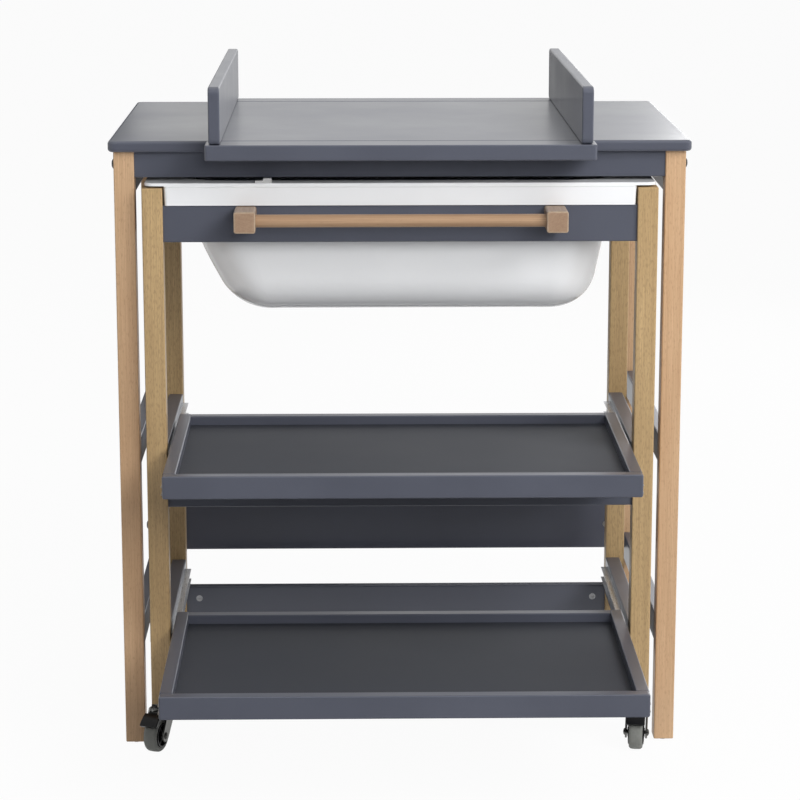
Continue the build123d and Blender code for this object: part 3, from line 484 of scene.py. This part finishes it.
class CasterSettings(bpy.types.PropertyGroup):
    """The four casters."""
    wheel_diameter: FloatProperty(
        name="Wheel", description="Diameter of the tread", subtype="DISTANCE", unit="LENGTH", min=0.04,
        max=0.05, default=0.050)
    tread_width: FloatProperty(
        name="Tread width", description="Width of the tread", subtype="DISTANCE", unit="LENGTH", min=0.012,
        max=0.022, default=0.020)
    hub_diameter: FloatProperty(
        name="Hub", description="Diameter of the hub", subtype="DISTANCE", unit="LENGTH", min=0.024,
        max=0.040, default=0.036)
    hub_width: FloatProperty(
        name="Hub width", description="Width of the hub", subtype="DISTANCE", unit="LENGTH", min=0.018,
        max=0.026, default=0.025)
    fork_width: FloatProperty(
        name="Fork width", description="Distance between the outer ends of the axle", subtype="DISTANCE",
        unit="LENGTH", min=0.030, max=0.040, default=0.0351)
    ring_diameter: FloatProperty(
        name="Dust ring", description="Diameter of the ring over the ball race", subtype="DISTANCE",
        unit="LENGTH", min=0.030, max=0.034, default=0.0315)
    # Painted shade: the zinc is darkened far below its own colour, standing in for the dark underside that
    # the forks reflect; the mounts and axle nuts take it too
    fork: FloatVectorProperty(
        name="Fork colour", description="Zinc plating of the forks, mounts and nuts", subtype="COLOR",
        size=3, min=0.0, max=1.0, default=(0.15, 0.15, 0.143))
    tread: FloatVectorProperty(
        name="Tread colour", description="Grey rubber of the treads", subtype="COLOR", size=3, min=0.0,
        max=1.0, default=(0.20, 0.205, 0.19))
    tread_dust: FloatVectorProperty(
        name="Tread, dust", description="Dust in the treads", subtype="COLOR", size=3, min=0.0, max=1.0,
        default=(0.30, 0.30, 0.28))
    black: FloatVectorProperty(
        name="Black plastic", description="Colour of the hubs, pedals and dust rings", subtype="COLOR",
        size=3, min=0.0, max=1.0, default=(0.004, 0.004, 0.005))
    black_tint: FloatVectorProperty(
        name="Black plastic, tint", description="Lighter tone in the black plastic", subtype="COLOR",
        size=3, min=0.0, max=1.0, default=(0.007, 0.007, 0.008))


class StudioSettings(bpy.types.PropertyGroup):
    """Floor, lamps and camera."""
    floor_size: FloatProperty(
        name="Floor", description="Side of the floor", subtype="DISTANCE", unit="LENGTH", min=4.0,
        max=100.0, default=60.0)
    floor_colour: FloatVectorProperty(
        name="Floor colour", description="Colour that the lamps find on the floor", subtype="COLOR", size=3,
        min=0.0, max=1.0, default=(0.90, 0.90, 0.90))
    floor_white: FloatProperty(
        name="Floor white", description="How much of the floor's look is plain white", subtype="FACTOR",
        min=0.0, max=1.0, default=0.955)
    key: FloatProperty(
        name="Key lamp", description="Power of the large lamp high on the right", subtype="POWER",
        unit="POWER", min=0.0, max=2000.0, default=82.0)
    fill: FloatProperty(
        name="Fill lamp", description="Power of the lamp on the left", subtype="POWER", unit="POWER",
        min=0.0, max=2000.0, default=4.0)
    top: FloatProperty(
        name="Top lamp", description="Power of the lamp above", subtype="POWER", unit="POWER", min=0.0,
        max=2000.0, default=17.0)
    front: FloatProperty(
        name="Front lamp", description="Power of the wide lamp to the right of the camera", subtype="POWER",
        unit="POWER", min=0.0, max=2000.0, default=73.0)
    back: FloatProperty(
        name="Back lamp", description="Power of the lamp behind on the right", subtype="POWER",
        unit="POWER", min=0.0, max=2000.0, default=26.0)
    room_light: FloatProperty(
        name="Room light", description="Strength of the even light from all sides", min=0.0, max=2.0,
        default=0.185)
    room_colour: FloatVectorProperty(
        name="Room colour", description="Colour of the even light", subtype="COLOR", size=3, min=0.0,
        max=1.0, default=(0.97, 0.98, 1.0))
    camera_place: FloatVectorProperty(
        name="Camera", description="Where the camera stands", subtype="TRANSLATION", unit="LENGTH", size=3,
        default=(-0.0679, -3.881, 1.3295))
    camera_pitch: FloatProperty(
        name="Pitch", description="How far the camera looks down", subtype="ANGLE", unit="ROTATION",
        default=radians(12.182))
    camera_yaw: FloatProperty(
        name="Yaw", description="How far the camera looks to the right", subtype="ANGLE", unit="ROTATION",
        default=radians(1.028))
    camera_lens: FloatProperty(
        name="Lens", description="Focal length in millimetres", min=10.0, max=400.0, default=121.03)


# Operators

class CHANGINGTABLE_OT_paint_table(bpy.types.Operator):
    """Paint the top, the aprons, the stretcher, the side rails and the changing frame"""
    bl_idname = "changingtable.paint_table"
    bl_label = "Paint Table"

    def execute(self, context):
        paint = context.scene.table_paint
        lengthwise = painted_wood("grey_paint_lengthwise", paint.colour, paint.roughness, "x")
        crosswise = painted_wood("grey_paint_crosswise", paint.colour, paint.roughness, "y")
        finish_nodes(["table_top", "front_apron", "rear_apron", "rear_stretcher"], lengthwise)
        finish_nodes(["side_aprons", "table_side_rails"], crosswise)
        finish_nodes(["frame_front_rail", "frame_rear_rail"], lengthwise)
        finish_nodes(["changing_board_left", "changing_board_right"], crosswise)
        return {"FINISHED"}


class CHANGINGTABLE_OT_varnish_table_legs(bpy.types.Operator):
    """Varnish the four beech legs of the table"""
    bl_idname = "changingtable.varnish_table_legs"
    bl_label = "Varnish Table Legs"

    def execute(self, context):
        wood = context.scene.table_wood
        for variety, corner in enumerate(CORNERS):
            beech = varnished_wood(f"beech_{corner}", wood.beech_pale, wood.beech_deep, "z", wood.ring_gap,
                                   float(variety), pores=0.32, open_grain=0.58)
            finish_nodes([f"table_leg_{corner}"], beech)
        return {"FINISHED"}


class CHANGINGTABLE_OT_fit_table_hardware(bpy.types.Operator):
    """Finish the bolts, barrel nuts and foot pads of the table"""
    bl_idname = "changingtable.fit_table_hardware"
    bl_label = "Finish Table Hardware"

    def execute(self, context):
        hardware = context.scene.table_hardware
        bolts = plated_steel("burnished_bolts", hardware.bolts, roughness=0.38, draw_axis="z")
        nuts = plated_steel("zinc_nuts", hardware.nuts, roughness=0.34, draw_axis="y")
        pads = moulded_plastic("black_pads", hardware.pads, hardware.pads_tint, roughness=0.55, coat=0.0,
                               grain=1400.0, depth=0.00006)
        finish_nodes(["leg_bolts"], bolts)
        finish_nodes(["barrel_nuts"], nuts)
        finish_nodes(["foot_pads"], pads)
        return {"FINISHED"}


class CHANGINGTABLE_OT_finish_trolley(bpy.types.Operator):
    """Paint the rails of the trolley, varnish its legs and plate its cam locks"""
    bl_idname = "changingtable.finish_trolley"
    bl_label = "Finish Trolley"

    def execute(self, context):
        wood, hardware = context.scene.table_wood, context.scene.table_hardware
        rails = [f"trolley_{level}_{end}_rail" for level in ("upper", "middle", "lower")
                 for end in ("front", "rear")]
        finish_nodes(rails, bpy.data.materials["grey_paint_lengthwise"])
        finish_nodes(["trolley_upper_side_rails", "trolley_side_rails"],
                     bpy.data.materials["grey_paint_crosswise"])
        for variety, corner in enumerate(CORNERS, len(CORNERS) + 1):
            pale = varnished_wood(f"pale_wood_{corner}", wood.pale_wood, wood.pale_wood_deep, "z",
                                  wood.ring_gap, float(variety), pores=0.36, open_grain=0.53)
            finish_nodes([f"trolley_leg_{corner}"], pale)
        finish_nodes(["cam_locks"], plated_steel("zinc_cams", hardware.cams, roughness=0.30, draw_axis="z"))
        return {"FINISHED"}


class CHANGINGTABLE_OT_finish_push_bar(bpy.types.Operator):
    """Varnish the push bar and its two blocks, with a painted highlight along the blocks' edges"""
    bl_idname = "changingtable.finish_push_bar"
    bl_label = "Finish Push Bar"

    def execute(self, context):
        wood = context.scene.table_wood
        bar_wood = varnished_wood("push_bar_wood", wood.bar_pale, wood.bar_deep, "x", wood.ring_gap,
                                  variety=11.0)
        block_wood = varnished_wood("block_wood", wood.block_pale, wood.block_deep, "y", wood.ring_gap,
                                    variety=13.0)
        low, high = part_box("grip_blocks")
        side = high.z - low.z
        middle = (high.x - side / 2, (low.y + high.y) / 2, (low.z + high.z) / 2)
        half = (side / 2, (high.y - low.y) / 2, side / 2)
        # Painted highlight along the edges of the blocks
        painted_edge_highlights(block_wood, middle, half, wood.edge_highlight_reach, wood.block_edge_highlight)
        finish_nodes(["grip_bar"], bar_wood)
        finish_nodes(["grip_blocks"], block_wood)
        return {"FINISHED"}


def ease(share):
    """A share between 0 and 1 with a slow start and end."""
    share = min(max(share, 0.0), 1.0)
    return share * share * (3.0 - 2.0 * share)


def make_tub_shell(tub, finish):
    """The tub with its head end drawn in below, so that its slope runs into the bottom in one wide curve."""
    low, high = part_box("bathtub")
    start = high.z - tub.head_round_height
    head_begins, head_length, curve = low.x * 0.33, 0.110, 1.2
    mesh = frame["nodes"]["bathtub"].data.copy()
    for vertex in mesh.vertices:
        depth = min(max((start - vertex.co.z) / (start - low.z), 0.0), 1.0)
        near_head = ease((head_begins - vertex.co.x) / head_length)
        vertex.co.x += tub.head_round * depth ** curve * near_head
    mesh.name = "tub_shell"
    mesh.materials.clear()
    mesh.materials.append(finish)
    shell = bpy.data.objects.new("tub_shell", mesh)
    bpy.context.scene.collection.objects.link(shell)
    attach(shell, "bathtub")
    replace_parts(shell, "bathtub")


class CHANGINGTABLE_OT_make_tub(bpy.types.Operator):
    """Make the shell of the moulded bathtub, and finish its plug and its clip"""
    bl_idname = "changingtable.make_tub"
    bl_label = "Make Bathtub"

    def execute(self, context):
        tub = context.scene.table_tub
        glossy = moulded_plastic("white_tub", tub.colour, shade(tub.colour, 1.02), roughness=tub.roughness,
                                 coat=0.25, grain=700.0, depth=0.00003)
        clip = moulded_plastic("clip_plastic", tub.clip, tub.clip_tint, roughness=0.3, coat=0.1, grain=900.0,
                               depth=0.00003)
        make_tub_shell(tub, glossy)
        finish_nodes(["rim_clip"], clip)
        finish_nodes(["drain_plug"], rubber("plug_rubber", tub.plug, tub.plug_dust))
        return {"FINISHED"}


class CHANGINGTABLE_OT_finish_trays(bpy.types.Operator):
    """Paint the borders of the two trays, and give their thin floors the grey paint darkened by painted
    shade
    """
    bl_idname = "changingtable.finish_trays"
    bl_label = "Finish Trays"

    def execute(self, context):
        paint = context.scene.table_paint
        # The tray floors take the darkened paint: painted shade
        floor = painted_wood("tray_floor_paint", paint.tray_floor, paint.floor_roughness, "x", shine=0.22,
                             coat=0.0)
        for level in TRAYS:
            finish_nodes([f"{level}_tray_front", f"{level}_tray_back"],
                         bpy.data.materials["grey_paint_lengthwise"])
            finish_nodes([f"{level}_tray_sides"], bpy.data.materials["grey_paint_crosswise"])
            finish_nodes([f"{level}_tray_floor"], floor)
        return {"FINISHED"}


class CHANGINGTABLE_OT_finish_runners(bpy.types.Operator):
    """Plate the members of the telescopic runners"""
    bl_idname = "changingtable.finish_runners"
    bl_label = "Finish Runners"

    def execute(self, context):
        zinc = plated_steel("zinc_runners", context.scene.table_hardware.runners, roughness=0.30,
                            draw_axis="y")
        names = ["runner_outer_members"]
        for level in TRAYS:
            names += [f"{level}_runner_middle_members", f"{level}_runner_inner_members"]
        finish_nodes(names, zinc)
        return {"FINISHED"}


def caster_axle(corner):
    """Where a caster's wheel turns: the middle of its axle and the direction along it."""
    joint = next(joint for joint in frame["joints"] if joint["name"] == f"wheel_spin_{corner}")
    return Vector(joint["pos_m"]), Vector(joint["axis"]).normalized()


def make_tread(corner, casters, finish):
    """Grey tread: a rounded tyre with a fine parting line and a shallow step at each side."""
    middle, axis = caster_axle(corner)
    half, outer, inner = casters.tread_width / 2, casters.wheel_diameter / 2, casters.hub_diameter / 2
    wall_drop, step, step_drop, crown_in, crown_drop = 0.0042, 0.0006, 0.0022, 0.0030, 0.0004
    line_half, line_depth = 0.0004, 0.00025
    side = [(half, inner), (half, outer - wall_drop), (half - step, outer - step_drop),
            (half - crown_in, outer - crown_drop), (line_half, outer)]
    profile = both_sides(side, crest=[(0.0, outer - line_depth)])
    shape = bmesh.new()
    turned(shape, softened(profile, radius=0.0016), middle, axis, segments=96)
    return add_piece(f"caster_tread_{corner}", shape, f"wheel_{corner}", finish)


def make_hub(corner, casters, finish):
    """Black hub: a rim under the tread, a sunk web with ribs on both sides and a boss round the axle."""
    middle, axis = caster_axle(corner)
    half, rim = casters.hub_width / 2, casters.hub_diameter / 2
    bore, boss, boss_flare, web = 0.0031, 0.0068, 0.0008, 0.0035
    rim_depth, lip_flare, rim_in, rim_gap = 0.0030, 0.0004, 0.0012, 0.0001
    lip = rim - rim_depth
    side = [(half, bore), (half, boss), (web, boss + boss_flare), (web, lip),
            (half - rim_in, lip + lip_flare), (half - rim_in, rim - rim_gap)]
    shape = bmesh.new()
    turned(shape, softened(both_sides(side), radius=0.0006), middle, axis, segments=72)
    rib_count, rib_thickness, sunk, overlap, rib_below = 6, 0.0022, 0.0004, 0.0006, 0.0022
    for direction in (-1.0, 1.0):
        ribs(shape, rib_count, boss - sunk, lip + overlap, rib_thickness, web - sunk, half - rib_below,
             middle, axis * direction)
    return add_piece(f"caster_hub_{corner}", shape, f"wheel_{corner}", finish)


def make_axle_nuts(corner, casters, finish):
    """Low hexagon nut with a washer and a domed end on each end of the axle."""
    middle, axis = caster_axle(corner)
    face = casters.fork_width / 2
    sunk, washer_top, bevel_start, nut_top, dome, end_top = 0.0004, 0.0003, 0.0008, 0.0010, 0.0012, 0.0014
    washer_radius, nut_radius, bevel_radius = 0.0045, 0.0038, 0.0034
    end_radius, dome_radius, tip_radius = 0.0021, 0.0019, 0.0012
    washer = [(face - sunk, 0.0), (face - sunk, washer_radius), (face + washer_top, washer_radius),
              (face + washer_top, 0.0)]
    nut = [(face, 0.0), (face, nut_radius), (face + bevel_start, nut_radius), (face + nut_top, bevel_radius),
           (face + nut_top, 0.0)]
    end = [(face + bevel_start, 0.0), (face + bevel_start, end_radius), (face + dome, dome_radius),
           (face + end_top, tip_radius), (face + end_top, 0.0)]
    shape = bmesh.new()
    for direction in (-1.0, 1.0):
        for profile, segments in ((washer, 32), (nut, 6), (end, 24)):
            turned(shape, profile, middle, axis * direction, segments)
    merge_gap = 0.000001
    bmesh.ops.remove_doubles(shape, verts=shape.verts, dist=merge_gap)
    return add_piece(f"axle_nuts_{corner}", shape, f"fork_{corner}", finish)


def make_dust_ring(corner, casters, finish):
    """Black ring that covers the ball race above the fork."""
    low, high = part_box(f"trolley_leg_{corner}")
    place = Vector(((low.x + high.x) / 2, (low.y + high.y) / 2, low.z))
    outer = casters.ring_diameter / 2
    top, waist, bottom = -0.0031, -0.0050, -0.0069
    neck, mouth, shoulder = 0.0122, 0.0146, 0.0006
    profile = [(top, neck), (top, outer - shoulder), (waist, outer), (bottom, outer), (bottom, mouth)]
    shape = bmesh.new()
    turned(shape, softened(profile, radius=0.0006), place, (0.0, 0.0, 1.0), segments=72)
    return add_piece(f"dust_ring_{corner}", shape, "trolley", finish)


class CHANGINGTABLE_OT_make_casters(bpy.types.Operator):
    """Make the treads, hubs, axle nuts and dust rings of the casters, and finish their forks and pedals"""
    bl_idname = "changingtable.make_casters"
    bl_label = "Make Casters"

    def execute(self, context):
        casters = context.scene.table_casters
        # Zinc darkened by painted shade, for the forks, mounts and axle nuts
        zinc = plated_steel("zinc_casters", casters.fork, roughness=0.32, draw_axis="z")
        tread = rubber("grey_tread", casters.tread, casters.tread_dust)
        black = moulded_plastic("black_casters", casters.black, casters.black_tint, roughness=0.30, coat=0.0,
                                grain=900.0, depth=0.00010, shine=0.2)
        finish_nodes(["caster_mounts"], zinc)
        for corner in CORNERS:
            finish_nodes([f"caster_fork_{corner}"], zinc)
            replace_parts(make_tread(corner, casters, tread), f"caster_wheel_{corner}")
            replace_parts(make_hub(corner, casters, black), f"caster_wheel_{corner}")
            make_axle_nuts(corner, casters, zinc)
            make_dust_ring(corner, casters, black)
            if corner in BRAKED:
                finish_nodes([f"brake_pedal_{corner}"], black)
        return {"FINISHED"}


def seen_directly(tree):
    """1 for a ray from the camera, a reflection or a refraction, and 0 for light that falls on things."""
    path = add_node(tree, "ShaderNodeLightPath", {}, {})
    seen = reckon(tree, "MAXIMUM", path.outputs["Is Camera Ray"], path.outputs["Is Glossy Ray"])
    return reckon(tree, "MAXIMUM", seen, path.outputs["Is Transmission Ray"])


def add_card(name, corners, finish):
    """A flat four-cornered sheet that belongs to the studio."""
    mesh = bpy.data.meshes.new(name)
    mesh.from_pydata(corners, [], [(0, 1, 2, 3)])
    mesh.materials.append(finish)
    card = bpy.data.objects.new(name, mesh)
    bpy.context.scene.collection.objects.link(card)
    return card


def add_floor(studio):
    """The pale floor: it looks nearly white, and the lamps light what stands on it off its own colour."""
    finish = bpy.data.materials.new("pale_floor")
    finish.use_nodes = True
    tree = finish.node_tree
    tree.nodes.clear()
    lit = add_node(tree, "ShaderNodeBsdfDiffuse", {}, {"Color": (*studio.floor_colour, 1.0)})
    white = add_node(tree, "ShaderNodeEmission", {}, {"Color": WHITE, "Strength": 1.0})
    share = reckon(tree, "MULTIPLY", seen_directly(tree), studio.floor_white)
    mixed = add_node(tree, "ShaderNodeMixShader", {}, {0: share, 1: lit.outputs[0], 2: white.outputs[0]})
    add_node(tree, "ShaderNodeOutputMaterial", {}, {"Surface": mixed.outputs[0]})
    half = studio.floor_size / 2
    add_card("pale_floor", [(-half, -half, 0), (half, -half, 0), (half, half, 0), (-half, half, 0)], finish)


def add_room(studio):
    """The white room: white where it is seen, and a weak even light on things."""
    world = bpy.data.worlds.new("white_room")
    bpy.context.scene.world = world
    world.use_nodes = True
    tree = world.node_tree
    tree.nodes.clear()
    even = add_node(tree, "ShaderNodeBackground", {}, {
        "Color": (*studio.room_colour, 1.0), "Strength": studio.room_light})
    white = add_node(tree, "ShaderNodeBackground", {}, {"Color": WHITE, "Strength": 1.0})
    mixed = add_node(tree, "ShaderNodeMixShader", {}, {
        0: seen_directly(tree), 1: even.outputs[0], 2: white.outputs[0]})
    add_node(tree, "ShaderNodeOutputWorld", {}, {"Surface": mixed.outputs[0]})


def add_lamp(name, power, size, place, target, mirrored):
    """A large soft lamp that faces a point. Unmirrored, it leaves no bright patch on the satin paint."""
    light = bpy.data.lights.new(name, "AREA")
    light.shape = "RECTANGLE"
    light.energy = power
    light.size, light.size_y = size
    lamp = bpy.data.objects.new(name, light)
    bpy.context.scene.collection.objects.link(lamp)
    lamp.location = place
    lamp.visible_camera = False
    lamp.visible_glossy = mirrored
    lamp.rotation_euler = (Vector(target) - Vector(place)).to_track_quat("-Z", "Y").to_euler()


def add_flags():
    """Dark cards, upright or flat, that show only in reflections."""
    cloth, tree, shader = new_finish("flag_cloth", {"Roughness": 0.9, "Specular IOR Level": 0.0})
    weave = cloudy(tree, piece_coordinates(tree), per_metre=300.0, detail=2.0, roughness=0.5)
    dark, less_dark = (0.04, 0.04, 0.045), (0.06, 0.06, 0.065)
    tree.links.new(between(tree, weave, dark, less_dark), shader.inputs["Base Color"])
    for name, (low, high) in FLAGS.items():
        if low[1] == high[1]:
            last = (low[0], low[1], high[2])
        else:
            last = (low[0], high[1], low[2])
        flag = add_card(name, [low, (high[0], low[1], low[2]), high, last], cloth)
        flag.visible_camera = flag.visible_diffuse = False
        flag.visible_transmission = flag.visible_shadow = False


def add_camera(studio):
    """The camera, where the photograph was taken from."""
    view = bpy.data.cameras.new("camera")
    view.lens, view.sensor_width = studio.camera_lens, 36.0
    view.clip_start, view.clip_end = 0.1, 200.0
    camera = bpy.data.objects.new("camera", view)
    bpy.context.scene.collection.objects.link(camera)
    camera.location = studio.camera_place
    camera.rotation_euler = Euler((pi / 2 - studio.camera_pitch, 0.0, -studio.camera_yaw))
    bpy.context.scene.camera = camera


class CHANGINGTABLE_OT_set_stage(bpy.types.Operator):
    """Set up the pale floor, the white room, the soft lamps, the dark cards and the camera"""
    bl_idname = "changingtable.set_stage"
    bl_label = "Set Stage"

    def execute(self, context):
        studio = context.scene.table_studio
        context.scene.view_settings.view_transform = "Standard"
        add_floor(studio)
        add_room(studio)
        for name, (size, place, target, mirrored) in LAMPS.items():
            add_lamp(f"{name}_lamp", getattr(studio, name), size, place, target, mirrored)
        add_flags()
        add_camera(studio)
        return {"FINISHED"}


class CHANGINGTABLE_PT_finishes(bpy.types.Panel):
    """Lists the finishing steps and their settings"""
    bl_idname = "CHANGINGTABLE_PT_finishes"
    bl_label = "Changing Table"
    bl_space_type = "VIEW_3D"
    bl_region_type = "UI"
    bl_category = "Changing Table"

    def draw(self, context):
        for step in STEPS:
            self.layout.operator(step.bl_idname)
        for name, group in GROUPS.items():
            box = self.layout.box()
            for setting in group.__annotations__:
                box.prop(getattr(context.scene, name), setting)


GROUPS = {
    "table_paint": PaintSettings,
    "table_wood": WoodSettings,
    "table_hardware": HardwareSettings,
    "table_tub": TubSettings,
    "table_casters": CasterSettings,
    "table_studio": StudioSettings,
}
STEPS = (
    CHANGINGTABLE_OT_paint_table,
    CHANGINGTABLE_OT_varnish_table_legs,
    CHANGINGTABLE_OT_fit_table_hardware,
    CHANGINGTABLE_OT_finish_trolley,
    CHANGINGTABLE_OT_finish_push_bar,
    CHANGINGTABLE_OT_make_tub,
    CHANGINGTABLE_OT_finish_trays,
    CHANGINGTABLE_OT_finish_runners,
    CHANGINGTABLE_OT_make_casters,
    CHANGINGTABLE_OT_set_stage,
)


def register():
    """Makes the settings, the steps and the panel known to Blender."""
    for name, group in GROUPS.items():
        bpy.utils.register_class(group)
        setattr(bpy.types.Scene, name, PointerProperty(type=group))
    for step in STEPS:
        bpy.utils.register_class(step)
    bpy.utils.register_class(CHANGINGTABLE_PT_finishes)


def unregister():
    """Takes the panel, the steps and the settings out again."""
    bpy.utils.unregister_class(CHANGINGTABLE_PT_finishes)
    for step in reversed(STEPS):
        bpy.utils.unregister_class(step)
    for name, group in GROUPS.items():
        delattr(bpy.types.Scene, name)
        bpy.utils.unregister_class(group)


def main():
    """Runs every step in order."""
    register()
    for step in STEPS:
        group, name = step.bl_idname.split(".")
        getattr(getattr(bpy.ops, group), name)()


if __name__ == "__main__":
    main()
